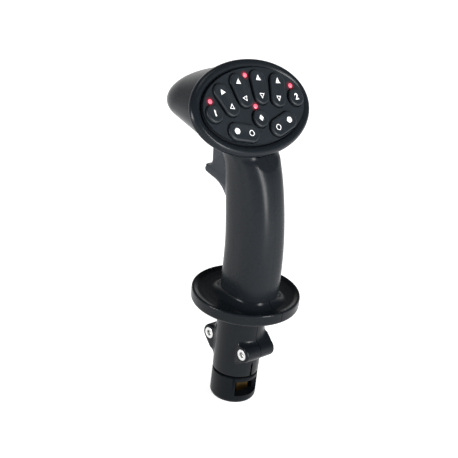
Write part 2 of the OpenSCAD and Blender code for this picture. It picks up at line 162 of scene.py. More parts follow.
# Tool marks 0.35 mm apart: a wave repeats every 2 pi / 20 over its scale
turning = add(tree, "ShaderNodeTexWave", {"Vector": place},
              {"Scale": 900.0, "Distortion": 1.5, "Detail": 2.0}, wave_type="RINGS", rings_direction="Z")
bump = add(tree, "ShaderNodeBump", {"Height": turning.outputs["Fac"]},
           {"Strength": 0.2, "Distance": 0.03 * mm})
# Patchy tarnish between two browns, both set far darker than bright brass as painted shade inside the
# collar's window
tarnish_and_shade = add(tree, "ShaderNodeTexNoise", {"Vector": place}, {"Scale": 160.0, "Detail": 4.0})
tint = add(tree, "ShaderNodeMix", {"Factor": tarnish_and_shade.outputs["Fac"]}, data_type="RGBA")
tint.inputs["A"].default_value = linear("#54401c")
tint.inputs["B"].default_value = linear("#251b0b")
shader = add(tree, "ShaderNodeBsdfPrincipled",
             {"Normal": bump.outputs[0], "Base Color": tint.outputs["Result"]},
             {"Metallic": 1.0, "Roughness": 0.33})
add(tree, "ShaderNodeOutputMaterial", {"Surface": shader.outputs[0]})
finish(eased("lock_nut", 0.25, "brass_lock_nut"), brass, "housing", ["lock_nut"])

# ------------------------------------------------------------------ clamp halves with the hand rest
# Two mirror mouldings in the same nylon. Together they make the neck that grips the
# spigot, the round hand rest above it and the oval lip round the foot of the handle.

neck_low, neck_low_r, neck_top_r = 23.5, 17.0, 18.2
neck_edge, neck_flare = 0.5, 3.5
rest_r, rest_y, rest_low, rest_z = 39.5, -1.0, 79.1, 88.4
rest_round, rest_bead, rest_dish = 2.5, 1.2, 1.9
clamp_z, clamp_y, boss_r, boss_x = 46.0, 18.4, 6.5, 13.4
boss_root, boss_end = 12.0, 1.4
spigot_r, spigot_top, chamber_r, cable_r = 12.1, 56.0, 14.6, 12.3
shank_r, head_r, head_depth, nut_r, nut_depth = 2.7, 4.5, 4.8, 4.75, 4.2
half_saw_cut, half_slit, slit_top = 0.2, 0.8, 34
foot_y, foot_a, foot_b, handle_power = -4.1, 17.5, 21.3, 2.6
foot_floor, foot_clearance = 83.7, 0.06


def skin(name, rows, loop=False):
    """A closed skin over a grid of points in millimetres: each row is a ring, neighbouring rows are
    joined by quads, and the end rows are joined to each other (loop) or closed by a fan."""
    m, n = rows.shape[:2]
    j, i = np.meshgrid(np.arange(m if loop else m - 1), np.arange(n), indexing="ij")
    k, l = (i + 1) % n, (j + 1) % m
    faces = np.stack([j * n + i, j * n + k, l * n + k, l * n + i], -1).reshape(-1, 4).tolist()
    points = rows.reshape(-1, 3)
    if not loop:
        points = np.vstack([points, rows[0].mean(0), rows[-1].mean(0)])
        i = np.arange(n)
        k = (i + 1) % n
        faces += np.stack([k, i, np.full(n, m * n)], -1).tolist()
        faces += np.stack([(m - 1) * n + i, (m - 1) * n + k, np.full(n, m * n + 1)], -1).tolist()
    mesh = bpy.data.meshes.new(name)
    mesh.from_pydata((points * mm).tolist(), [], faces)
    shape = bmesh.new()
    shape.from_mesh(mesh)
    bmesh.ops.recalc_face_normals(shape, faces=shape.faces)
    shape.to_mesh(mesh)
    shape.free()
    piece = bpy.data.objects.new(name, mesh)
    scene.collection.objects.link(piece)
    return piece


def superellipse(a, b, power, count):
    """|x / a| ^ p + |y / b| ^ p = 1, walked anticlockwise by the angle t: x = a |cos t| ^ (2 / p)
    and y = b |sin t| ^ (2 / p), each with its sign."""
    t = np.linspace(0, 2 * np.pi, count, endpoint=False)
    c, s = np.cos(t), np.sin(t)
    return np.stack([a * np.sign(c) * np.abs(c) ** (2 / power),
                     b * np.sign(s) * np.abs(s) ** (2 / power)], -1)


def catmull(table, steps):
    """A smooth curve through the rows of a table: cubic pieces whose slope at each row is half
    the difference of its neighbours."""
    rows = np.vstack([table[:1], table, table[-1:]])
    s = np.linspace(0, len(table) - 1, steps)
    i = np.minimum(s.astype(int), len(table) - 2)
    t = (s - i)[:, None]
    p0, p1, p2, p3 = rows[i], rows[i + 1], rows[i + 2], rows[i + 3]
    return 0.5 * (2 * p1 + (p2 - p0) * t + (2 * p0 - 5 * p1 + 4 * p2 - p3) * t ** 2
                  + (3 * p1 - p0 - 3 * p2 + p3) * t ** 3)


def baked(piece):
    """Replaces a piece's mesh by the one that its modifiers give, and drops the modifiers."""
    bpy.context.view_layer.update()
    graph = bpy.context.evaluated_depsgraph_get()
    made = bpy.data.meshes.new_from_object(piece.evaluated_get(graph))
    piece.modifiers.clear()
    piece.data = made
    return piece


def fused(name, pieces, voxel):
    """One closed skin round several overlapping pieces, by a voxel remesh of a size in millimetres."""
    shape = bmesh.new()
    for part in pieces:
        shape.from_mesh(part.data)
        bpy.data.objects.remove(part)
    mesh = bpy.data.meshes.new(name)
    shape.to_mesh(mesh)
    shape.free()
    piece = bpy.data.objects.new(name, mesh)
    scene.collection.objects.link(piece)
    remesh = piece.modifiers.new("fuse", "REMESH")
    remesh.mode = "VOXEL"
    remesh.voxel_size = voxel * mm
    return baked(piece)


def points_of(mesh):
    """A mesh's points in millimetres, one row each."""
    p = np.empty(len(mesh.vertices) * 3)
    mesh.vertices.foreach_get("co", p)
    return p.reshape(-1, 3) / mm


def fillet(piece, hollow, reach, passes):
    """Rounds the creases where fused forms meet: every point moves towards the mean of its
    neighbours, by half of w (mean - p) a pass. w is 1 where the skin is hollow by more than
    `hollow` millimetres and fades to 0 over `reach` neighbours. A few passes of +0.5 and -0.53
    over the whole skin then take off the remesh's ripple without shrinking it."""
    ripple_passes, swell = 5, 0.53
    mesh = piece.data
    count = len(mesh.vertices)
    p = points_of(mesh)
    normal = np.empty(count * 3)
    mesh.vertex_normals.foreach_get("vector", normal)
    normal = normal.reshape(-1, 3)
    ends = np.empty(len(mesh.edges) * 2, int)
    mesh.edges.foreach_get("vertices", ends)
    a, b = ends.reshape(-1, 2).T
    degree = np.bincount(a, minlength=count) + np.bincount(b, minlength=count)

    def mean(values):
        total = [np.bincount(a, values[b, k], count) + np.bincount(b, values[a, k], count)
                 for k in range(3)]
        return np.stack(total, -1) / degree[:, None]

    w = (((mean(p) - p) * normal).sum(1) > hollow).astype(float)
    for _ in range(reach):
        spread = w.copy()
        np.maximum.at(spread, a, w[b] - 1 / reach)
        np.maximum.at(spread, b, w[a] - 1 / reach)
        w = spread
    for _ in range(passes):
        p = p + 0.5 * w[:, None] * (mean(p) - p)
    for _ in range(ripple_passes):
        p = p + 0.5 * (mean(p) - p)
        p = p - swell * (mean(p) - p)
    mesh.vertices.foreach_set("co", (p * mm).ravel())
    mesh.update()


def turned(name, outline, y0, count=180):
    """A solid of revolution about a line along Z: each point [radius, height] goes round a ring."""
    t = np.linspace(0, 2 * np.pi, count, endpoint=False)
    r, z = np.asarray(outline, float).T[..., None]
    return skin(name, np.stack([r * np.cos(t), r * np.sin(t) + y0, z + 0 * t], -1))


def arc(x, y, r, start, end, count=8):
    """Points round part of a circle, by angles in degrees."""
    t = np.radians(np.linspace(start, end, count))
    return np.stack([x + r * np.cos(t), y + r * np.sin(t)], -1)


def lengthwise(name, section, half, ease, middle=0.0):
    """A bar along X with a section in (y, z). Each end closes over a quarter round: at the angle a,
    x = half - ease (1 - sin a) and the section is drawn in by ease (1 - cos a)."""
    a = np.radians(np.append(-np.linspace(90, 0, 6), np.linspace(0, 90, 6)))
    away = section - section.mean(0)
    size = np.linalg.norm(away, axis=1, keepdims=True)
    ring = section.mean(0) + away * (1 - ease * (1 - np.cos(a))[:, None, None] / size)
    x = middle + np.repeat([-1, 1], 6) * (half - ease) + ease * np.sin(a)
    return skin(name, np.concatenate([np.broadcast_to(x[:, None, None], ring[..., :1].shape), ring], -1))


def cut(piece, *cutters):
    """Cuts closed pieces out of another, and drops the cutters."""
    for cutter in cutters:
        boolean = piece.modifiers.new("cut", "BOOLEAN")
        boolean.object = cutter
        boolean.operation = "DIFFERENCE"
        boolean.solver = "EXACT"
        baked(piece)
        bpy.data.objects.remove(cutter)
    return piece


def block(name, low, high):
    """A box between two corners."""
    x, y, z = np.stack([low, high], -1)
    corners = ((0, 0), (1, 0), (1, 1), (0, 1))
    return skin(name, np.array([[[x[i], y[j], level] for i, j in corners] for level in z]))


def bar(name, radius, x0, x1, y, sides=48):
    """A round or many-sided bar along X at the clamp screws' height."""
    t = np.linspace(0, 2 * np.pi, sides, endpoint=False)
    section = [y + radius * np.cos(t), clamp_z + radius * np.sin(t)]
    return skin(name, np.array([np.column_stack([np.full(sides, x), *section]) for x in (x0, x1)]))


# Outlines of revolution start and end a hair off the axis. The neck's wall turns out into the
# underside of the rest, whose rim is a quarter round below and a fine bead above.
axis_r = 0.02
neck = turned("neck", np.vstack([[[axis_r, neck_low]],
                                 arc(neck_low_r - neck_edge, neck_low + neck_edge, neck_edge, -90, 0),
                                 arc(neck_top_r + neck_flare, rest_low - neck_flare, neck_flare, 180, 90),
                                 [[axis_r, rest_low + 2]]]), 0)
rest = turned("rest", np.vstack([[[axis_r, rest_low]],
                                 arc(rest_r - rest_round, rest_low + rest_round, rest_round, -90, 0, 12),
                                 arc(rest_r - rest_bead, rest_z - rest_bead, rest_bead, 0, 115, 12),
                                 [[rest_r - 4.6, rest_z - 1.6], [rest_r - 10, rest_z - rest_dish],
                                  [axis_r, rest_z - rest_dish]]]), rest_y)

# The lip is a hollow ramp: [outset from the handle's oval, height above the rest's rim]
ramp = np.vstack([[[12.0, -5.0]], arc(6.3, 4.3, 6.2, 270, 197, 32), [[0.0, 2.6]]])
oval = superellipse(1, 1, handle_power, 120)
lip = np.stack([oval[:, 0] * (foot_a + ramp[:, :1]), oval[:, 1] * (foot_b + ramp[:, :1]) + foot_y,
                np.broadcast_to(rest_z + ramp[:, 1:], (len(ramp), len(oval)))], -1)
forms = [neck, rest, skin("lip", lip)]

# Each boss is a bar across the neck. Its section runs from the underside round the front to the
# top, where a web slopes up to the neck on the right half only.
for side, under, start in ((-1, [[boss_root, clamp_z - 10.5], [16.6, clamp_z - 7.2]], -75),
                           (1, [[boss_root, clamp_z - 14], [15.6, clamp_z - 11]], -55)):
    front = arc(clamp_y, clamp_z, boss_r, start, 68, 18)
    flat_top = [[16.0, clamp_z + boss_r], [boss_root, clamp_z + boss_r]]
    web = [[17.8, clamp_z + 8.6], [15.0, clamp_z + 11], [boss_root, clamp_z + 12]]
    plain = np.vstack([under, front, flat_top]) * [side, 1]
    webbed = np.vstack([under, front, web]) * [side, 1]
    forms += [lengthwise("plain_boss", plain, boss_x, boss_end),
              lengthwise("webbed_boss", webbed, boss_x / 2, boss_end, boss_x / 2)]
clamp = fused("clamp_skin", forms, 0.6)
fillet(clamp, 0.05, 7, 70)

# Bore for the spigot, chamber for the foot of the handle, pocket for its oval, relief slit,
# and for each screw a shank bore, a seat for the head and a hexagonal pocket for the nut.
# The cutters run past the moulding to these levels and to 20 mm each side.
below, above, past = 20, 100, 20
chamber_top = rest_low + 3
pocket = superellipse(foot_a + foot_clearance, foot_b + foot_clearance, handle_power, 120) + [0, foot_y]
cut(clamp,
    turned("foot_chamber", [[axis_r, below], [spigot_r, below], [spigot_r, spigot_top],
                            [chamber_r, spigot_top], [chamber_r, chamber_top], [cable_r, chamber_top],
                            [cable_r, above], [axis_r, above]], 0, 96),
    skin("handle_pocket", np.array([np.column_stack([pocket, np.full(len(pocket), level)])
                                    for level in (foot_floor, above)])),
    block("relief_slit", (-half_slit, -30, below), (half_slit, -10, slit_top)))
for y in (-clamp_y, clamp_y):
    cut(clamp, bar("shank_bore", shank_r, -past, past, y),
        bar("head_seat", head_r, -past, head_depth - boss_x, y),
        bar("nut_pocket", nut_r, boss_x - nut_depth, past, y, 6))

# A saw cut at X = 0 parts the halves
# The rest's nylon is set darker than the shell's, as painted shade on its top, which gets little light from
# above
rest_nylon_painted_shade = moulded_plastic("glass_filled_nylon_rest", "#15191d", 0.23, 0.0008, 0.12)
span = 60
for side, low, high in (("left", (-half_saw_cut, -span, 0), (span, span, 2 * span)),
                        ("right", (-span, -span, 0), (half_saw_cut, span, 2 * span))):
    half = clamp.copy()
    half.data = clamp.data.copy()
    half.name = side + "_rest_half"
    scene.collection.objects.link(half)
    cut(half, block("other_half", low, high))
    shade(half.data, 38)
    finish(half, rest_nylon_painted_shade, "housing", [side + "_clamp_half"])
bpy.data.objects.remove(clamp)

# ------------------------------------------------------------------ clamp screws and nuts
# M5 socket-head screws and hexagon nuts, zinc plated. The heads sit in counterbores
# on the left side and the nuts in hexagonal pockets on the right.


def zinc_plate(name, colour, rough, scale, detail):
    """Bright zinc on steel: a crystalline bloom, 1 / scale metres across, makes it duller in places
    by up to 0.14 of roughness."""
    made, tree = blank_material(name)
    place = add(tree, "ShaderNodeTexCoord").outputs["Object"]
    bloom = add(tree, "ShaderNodeTexNoise", {"Vector": place}, {"Scale": scale, "Detail": detail})
    wear = add(tree, "ShaderNodeMapRange", {"Value": bloom.outputs["Fac"]},
               {"To Min": rough, "To Max": rough + 0.14})
    shader = add(tree, "ShaderNodeBsdfPrincipled", {"Roughness": wear.outputs[0]},
                 {"Base Color": linear(colour), "Metallic": 1.0})
    add(tree, "ShaderNodeOutputMaterial", {"Surface": shader.outputs[0]})
    return made


zinc = zinc_plate("zinc_plated_steel", "#d0d1d0", 0.22, 1400.0, 2.0)
for name, width in (("clamp_screws", 0.3), ("clamp_nuts", 0.25)):
    finish(eased(name, width, name.replace("clamp", "clamp_m5")), zinc, "housing", [name])

# ------------------------------------------------------------------ handle and head shells
# Left and right halves moulded in glass-filled nylon, screwed together from the right.
# The handle's oval flows into the barrel of the head through a soft fillet.

rim_a, rim_b, mouth_inset = 52.9, 35.2, 1.8
face_level = -9.4
barrel_a, barrel_b = 46.3, 22.3
barrel_shift, barrel_length, barrel_rise = 8.8, 48.0, np.radians(20.9)
wall, parting, foot_z = 2.2, 0.05, 84.05
slot_half, slot_back, slot_front, slot_low, slot_high = 13.45, 12, 42, 149, 211

# Handle stations: height, centre ahead of the lever's axis, half width, half depth
stations = np.array([[84, foot_y, foot_a, foot_b], [100, -4.3, 17.7, 21.4], [114, -4.2, 17.7, 21.4],
                     [128, -3.4, 17.7, 21.3], [142, -1.6, 17.6, 21.4], [156, 0.8, 17.5, 21.3],
                     [168, 3.4, 17.5, 21], [178, 5.9, 17.7, 20.2], [185, 8.1, 18.2, 19.1],
                     [190, 10.7, 19, 18.8], [194, 13.4, 20.2, 17.4], [198, 16.4, 21.6, 17.4],
                     [203, 19.6, 23.2, 17.2], [212, 25.6, 26, 15]])

# The face's axes come from the frame: the centre key slides straight into the face
inward = next(np.array(j["axis"]) for j in frame["joints"] if j["name"] == "round_key_centre_press")
out_of_face = -inward / np.linalg.norm(inward)
across = np.array([1.0, 0.0, 0.0])
up_face = np.cross(out_of_face, across)
hinges = {j["child"]: j for j in frame["joints"] if j["name"].endswith("_tilt")}
pivots = np.array([hinges[k]["pos_m"] for k in ("rocker_near_left", "rocker_near_right")]).mean(0) / mm
pivot_v, pivot_depth = 11.8, 6.0
face_centre = pivots - pivot_v * up_face + pivot_depth * out_of_face


def on_face(u, v, level):
    """Points from face coordinates: centre + u across + v up the face + level out of it."""
    u, v, level = np.broadcast_arrays(u, v, level)
    return face_centre + u[..., None] * across + v[..., None] * up_face + level[..., None] * out_of_face


# Handle: superellipse rings up the stations
levels = catmull(stations, 150)
rings = superellipse(1, 1, handle_power, 96)
rows = np.empty((len(levels), len(rings), 3))
rows[..., 0] = rings[:, 0] * levels[:, 2:3]
rows[..., 1] = rings[:, 1] * levels[:, 3:4] + levels[:, 1:2]
rows[..., 2] = levels[:, 0:1]
handle = skin("handle", rows)

# Head: hull of the face's ellipse and the barrel's rings. A ring at a share s of the length is
# drawn in to g of its section, with s ^ 3.6 + g ^ 2.8 = 1, so the nose closes in a soft dome.
t = np.radians(np.linspace(0, 90, 46))
s, g = np.sin(t) ** (2 / 3.6), np.cos(t) ** (2 / 2.8)
oval = superellipse(1, 1, 2, 160)
run = s * barrel_length
barrel = on_face(barrel_a * g[:, None] * oval[:, 0],
                 barrel_b * g[:, None] * oval[:, 1] + (barrel_shift + run * np.sin(barrel_rise))[:, None],
                 (face_level - 1 - run * np.cos(barrel_rise))[:, None])
mouth = oval * [rim_a - mouth_inset, rim_b - mouth_inset]
front = on_face(mouth[:, 0], mouth[:, 1], face_level - 0.1)
mesh = bpy.data.meshes.new("head_points")
mesh.from_pydata((np.vstack([barrel.reshape(-1, 3), front]) * mm).tolist(), [], [])
shape = bmesh.new()
shape.from_mesh(mesh)
bmesh.ops.convex_hull(shape, input=shape.verts)
bmesh.ops.delete(shape, geom=[v for v in shape.verts if not v.link_faces], context="VERTS")
mesh = bpy.data.meshes.new("head")
shape.to_mesh(mesh)
shape.free()
head = bpy.data.objects.new("head", mesh)
# The skin runs on past the face, so that it is cut off square there
overrun = skin("overrun", on_face(mouth[None, :, 0], mouth[None, :, 1],
                                  np.array([[face_level - 0.6], [face_level + 3.0]])))
body = fused("shell_skin", [handle, head, overrun], 0.8)
fillet(body, 0.05, 9, 90)

# Below the rim the fillet is pressed back to just under the face's plane, so that only the
# inside of the rim opens: p - (level - limit) n for the points beyond the limit
points = points_of(body.data)
local = (points - face_centre) @ np.stack([across, up_face, out_of_face], -1)
beyond = np.where((local[:, 0] / (rim_a + 0.1)) ** 2 + (local[:, 1] / (rim_b + 0.1)) ** 2 > 1,
                  np.maximum(local[:, 2] - (face_level - 0.05), 0), 0)
points -= beyond[:, None] * out_of_face
body.data.vertices.foreach_set("co", (points * mm).ravel())

# Open the skin at the face and at the foot, part it at X = 0, give it its wall, and cut the
# trigger's slot through the finished wall
shell_nylon = moulded_plastic("glass_filled_nylon_shell", "#1d2125", 0.27, 0.0008, 0.12)
for side, sign in (("left", -1), ("right", 1)):
    shape = bmesh.new()
    shape.from_mesh(body.data)
    for place, normal in ((on_face(0.0, 0.0, face_level) * mm, out_of_face),
                          (np.array([0, 0, foot_z]) * mm, (0, 0, -1)),
                          (np.array([sign * parting, 0, 0]) * mm, (-sign, 0, 0))):
        bmesh.ops.bisect_plane(shape, geom=shape.verts[:] + shape.edges[:] + shape.faces[:], dist=1e-7,
                               plane_co=Vector(place), plane_no=Vector(normal), clear_outer=True)
    mesh = bpy.data.meshes.new(side + "_shell")
    shape.to_mesh(mesh)
    shape.free()
    half = bpy.data.objects.new(side + "_shell", mesh)
    scene.collection.objects.link(half)
    solid = half.modifiers.new("wall", "SOLIDIFY")
    solid.thickness = wall * mm
    solid.offset = -1
    solid.use_even_offset = False
    solid.use_rim = True
    baked(half)
    cut(half, block("slot_cutter", (-slot_half, slot_back, slot_low), (slot_half, slot_front, slot_high)))
    shade(half.data, 40)
    finish(half, shell_nylon, "housing", [side + "_grip_shell"])
bpy.data.objects.remove(body)

# ------------------------------------------------------------------ inside the handle
# Self-tapping screws close the shells. A control board stands in the handle, and a
# bracket behind the trigger holds its pin, its return spring and its microswitch.

fine_zinc = zinc_plate("bright_zinc_screws", "#c4c6c8", 0.28, 2500.0, 1.0)
for name, width in (("shell_screws", 0.3), ("trigger_pin", 0.2)):
    finish(eased(name, width, "bright_" + name), fine_zinc, "housing", [name])
node["trigger_spring"].data.materials.clear()
node["trigger_spring"].data.materials.append(fine_zinc)


def solder_mask(name, colour):
    """Glass-epoxy board under green solder mask. Its copper tracks show as a raised pattern, a little
    lighter, in rows 1 mm apart: a row is a quarter of 1 / 260 m."""
    made, tree = blank_material(name)
    place = add(tree, "ShaderNodeTexCoord").outputs["Object"]
    tracks = add(tree, "ShaderNodeTexBrick", {"Vector": place}, {"Scale": 260.0, "Mortar Size": 0.03})
    tracks.inputs["Color1"].default_value = linear(colour)
    tracks.inputs["Color2"].default_value = linear("#1f5a3a")
    tracks.inputs["Mortar"].default_value = linear("#123a26")
    bump = add(tree, "ShaderNodeBump", {"Height": tracks.outputs["Fac"]},
               {"Strength": 0.3, "Distance": 0.04 * mm})
    shader = add(tree, "ShaderNodeBsdfPrincipled",
                 {"Base Color": tracks.outputs["Color"], "Normal": bump.outputs[0]},
                 {"Roughness": 0.28, "IOR": 1.55})
    add(tree, "ShaderNodeOutputMaterial", {"Surface": shader.outputs[0]})
    return made


board = solder_mask("green_solder_mask", "#1a4d31")
acetal = moulded_plastic("grey_acetal_bracket", "#3a3e44", 0.38, 0.0009)
switch_case = moulded_plastic("black_pbt_switch_case", "#15171a", 0.45, 0.0006)
frame_nylon = moulded_plastic("black_nylon_key_frame", "#202327", 0.45, 0.0008)
for source, width, name, material, slot in (
        ("control_board", 0.1, "handle_board", board, "circuit_board"),
        ("keypad_board", 0.1, "keypad_circuit_board", board, "circuit_board"),
        ("trigger_bracket", 0.3, "trigger_bracket_frame", acetal, "bracket_plastic"),
        ("trigger_switch", 0.2, "trigger_microswitch", switch_case, "switch_plastic"),
        ("tactile_switches", 0.15, "click_switches", switch_case, "switch_plastic"),
        ("board_screws", 0.15, "bright_board_screws", fine_zinc, "steel"),
        ("key_frame", 0.15, "key_guide_frame", frame_nylon, "black_plastic")):
    finish(eased(source, width, name), material, "housing", [source])

# ------------------------------------------------------------------ trigger
# A hooked lever moulded in smooth satin nylon. It hangs on the pin, fills the slot in
# the handle's front and has a generous round on every edge that the finger meets.

# Its colour is set lighter than the shell's nylon, as painted light where the lamp from the left falls on
# its flank
trigger_nylon_painted_light = moulded_plastic("satin_nylon_trigger", "#33373d", 0.34, 0.0012)
trigger = eased("trigger", 0.9, "finger_trigger", 24)
finish(trigger, trigger_nylon_painted_light, "trigger", ["trigger"])

# ------------------------------------------------------------------ light pipes
# Clear acrylic rods that carry each lamp's light to a small dome on the pad. Lit, the
# dome's middle is pink and its edge a deeper red.

led_at = np.array([[-36.9, 8.7], [36.9, 8.7], [0, 22.2], [0, -0.8]])
led_radius, dome_radius, dome_rise = 1.35, 1.75, 0.8
pipe_foot, mat_level = -11.8, -2.5

glow_acrylic, tree = blank_material("lit_acrylic_light_pipe")
facing = add(tree, "ShaderNodeLayerWeight", inputs={"Blend": 0.45})
ramp = add(tree, "ShaderNodeValToRGB", {"Fac": facing.outputs["Facing"]})
ramp.color_ramp.elements[0].color = linear("#ea7f95")
ramp.color_ramp.elements[1].color = linear("#c23450")
ramp.color_ramp.elements[1].position = 0.75
shader = add(tree, "ShaderNodeBsdfPrincipled", {"Emission Color": ramp.outputs["Color"]},
             {"Base Color": linear("#ff5a6a"), "Roughness": 0.15, "IOR": 1.49, "Emission Strength": 0.85})
add(tree, "ShaderNodeOutputMaterial", {"Surface": shader.outputs[0]})

# Profile of a pipe: [radius, level], a straight rod that ends in a low dome
dome = np.radians(np.linspace(0, 90, 10))
dome_top = [dome_radius * np.cos(dome), mat_level + 0.06 + dome_rise * np.sin(dome)]
profile = np.vstack([[axis_r, pipe_foot], [led_radius, pipe_foot], [led_radius, mat_level + 0.03],
                     np.stack(dome_top, -1)])
ring = superellipse(1, 1, 2, 40)
for k, (u, v) in enumerate(led_at):
    pipe = skin("light_pipe_%d" % (k + 1), on_face(u + profile[:, :1] * ring[None, :, 0],
                                                   v + profile[:, :1] * ring[None, :, 1], profile[:, 1:2]))
    shade(pipe.data, 50)
    finish(pipe, glow_acrylic, "housing", ["led_light_pipes"] if k == 0 else [])

# ------------------------------------------------------------------ keypad mat
# One sheet of dark blue-grey silicone under the keys, matt from its mould, with an
# opening for each key and lamp. The lamps tint it red close by.

silicone, tree = blank_material("matt_silicone_rubber")
place = add(tree, "ShaderNodeTexCoord").outputs["Object"]
pits = add(tree, "ShaderNodeTexNoise", {"Vector": place}, {"Scale": 1100.0, "Detail": 3.0})
bump = add(tree, "ShaderNodeBump", {"Height": pits.outputs["Fac"]}, {"Strength": 0.3, "Distance": 0.00005})
dust = add(tree, "ShaderNodeTexNoise", {"Vector": place}, {"Scale": 90.0, "Detail": 4.0})
tint = add(tree, "ShaderNodeMix", {"Factor": dust.outputs["Fac"]}, data_type="RGBA")
tint.inputs["A"].default_value = linear("#191f24")
tint.inputs["B"].default_value = linear("#20272d")
# Red light leaks into the rubber round each lamp and is gone 4.2 mm from the lamp's middle
leak_start, leak_end, leak_power = 1.6 * mm, 4.2 * mm, 0.3
lamps = on_face(led_at[:, 0], led_at[:, 1], mat_level) * mm
far = [add(tree, "ShaderNodeVectorMath", {0: place}, {1: lamp}, operation="DISTANCE").outputs["Value"]
       for lamp in lamps]
nearest = far[0]
for distance in far[1:]:
    nearest = add(tree, "ShaderNodeMath", {0: nearest, 1: distance}, operation="MINIMUM").outputs[0]
leak = add(tree, "ShaderNodeMapRange", {"Value": nearest},
           {"From Min": leak_start, "From Max": leak_end, "To Min": leak_power, "To Max": 0.0},
           interpolation_type="SMOOTHERSTEP")
shader = add(tree, "ShaderNodeBsdfPrincipled",
             {"Base Color": tint.outputs["Result"], "Normal": bump.outputs[0],
              "Emission Strength": leak.outputs[0]},
             {"Roughness": 0.42, "IOR": 1.41, "Specular IOR Level": 0.4,
              "Emission Color": linear("#b00c28")})
add(tree, "ShaderNodeOutputMaterial", {"Surface": shader.outputs[0]})
finish(eased("keypad_mat", 0, "silicone_mat"), silicone, "housing", ["keypad_mat"])

# ------------------------------------------------------------------ rocker keys
# Silicone caps 13 by 25.4 mm, each with a shallow dip for the fingertip at both ends
# and a low ridge between. White ink marks the two ends.

rocker_width, rocker_length, edge_round = 13.0, 25.4, 1.3
rocker_half = (rocker_length - rocker_width) / 2
rocker_foot, ink_depth = -7.4, 0.05

white_ink, tree = blank_material("white_screen_print_ink")
place = add(tree, "ShaderNodeTexCoord").outputs["Object"]
speck = add(tree, "ShaderNodeTexNoise", {"Vector": place}, {"Scale": 900.0, "Detail": 2.0})
ink = add(tree, "ShaderNodeMix", {"Factor": speck.outputs["Fac"]}, data_type="RGBA")
ink.inputs["A"].default_value = linear("#f4f4f4")
ink.inputs["B"].default_value = linear("#ffffff")
# A little light of its own keeps the ink white where the rim shades the pad
shader = add(tree, "ShaderNodeBsdfPrincipled",
             {"Base Color": ink.outputs["Result"], "Emission Color": ink.outputs["Result"]},
             {"Roughness": 0.5, "Emission Strength": 0.35})
add(tree, "ShaderNodeOutputMaterial", {"Surface": shader.outputs[0]})


def rocker_top(x, y):
    """Level of a rocker's top: a dip 0.35 mm deep round each finger place, by (1 - d^2)^2 of the
    distance d in shares of 5.4 mm, and a ridge exp(-(y / 0.55)^2) across the middle."""
    d = (x ** 2 + (np.abs(y) - rocker_half) ** 2) / 5.4 ** 2
    return -0.28 - 0.35 * np.clip(1 - d, 0, 1) ** 2 + 0.4 * np.exp(-(y / 0.55) ** 2)


def round_top(x, y):
    """Level of a round key's top: a dip of 0.35 mm, by (1 - d^2)^2 of the radius d in shares of 5.6 mm."""
    return -0.05 - 0.35 * np.clip(1 - (x ** 2 + y ** 2) / 5.6 ** 2, 0, 1) ** 2


def key_cap(name, u, v, turn, half, top, low):
    """A key cap: a stadium (or a disc, half = 0) whose wall rises from `low`, turns over a quarter
    round and closes over the top. A point is (r cos t, r sin t +- half) at the level top(x, y) less
    the round's 1 - sin."""
    t = np.linspace(0, 2 * np.pi, 96, endpoint=False)
    corner = np.radians(np.linspace(0, 90, 8))
    radius = rocker_width / 2
    over = np.linspace(0.08, 0.995, 14)
    inset = np.concatenate([[0.0, 0.0], edge_round * (1 - np.cos(corner)),
                            edge_round + (radius - edge_round) * over])
    drop = np.concatenate([[np.nan, edge_round + 0.6], edge_round * (1 - np.sin(corner)), 0 * over])
    r = (radius - inset)[:, None]
    x = r * np.cos(t)
    y = r * np.sin(t) + half * np.sign(np.sin(t) + 1e-9)
    level = top(x, y) - drop[:, None]
    level[0] = low
    c, s = np.cos(turn), np.sin(turn)
    return skin(name, on_face(u + c * x - s * y, v + s * x + c * y, level))


def printed(name, outline, hole, u, v, turn, top, x0, y0):
    """A layer of ink that follows a key's top, 0.05 mm above and below its level: points on straight
    lines from the outline to the hole, or to the outline's middle."""
    share = np.linspace(0, 0.999, 9)[:, None, None]
    inner = hole if hole is not None else np.broadcast_to(outline.mean(0), outline.shape)
    flat = outline * (1 - share) + inner * share
    x, y = flat[..., 0] + x0, flat[..., 1] + y0
    level = top(x, y)
    c, s = np.cos(turn), np.sin(turn)
    upper = on_face(u + c * x - s * y, v + s * x + c * y, level + ink_depth)
    under = on_face(u + c * x - s * y, v + s * x + c * y, level - ink_depth)
    return skin(name, np.concatenate([upper, under[::-1]]), loop=True)


def polygon(corners, count=48):
    """Points spread evenly along the straight sides of a polygon."""
    corners = np.asarray(corners, float)
    s = np.linspace(0, len(corners), count, endpoint=False)
    i = s.astype(int)
    t = (s - i)[:, None]
    return corners[i] * (1 - t) + corners[(i + 1) % len(corners)] * t


def arrow(size, angle):
    """A triangle about its incentre that points along an angle in degrees."""
    a = np.radians(angle)
    shape = np.array([[1.44, 0], [-0.66, 1.08], [-0.66, -1.08]]) * size
    return polygon(shape @ np.array([[np.cos(a), np.sin(a)], [-np.sin(a), np.cos(a)]]))


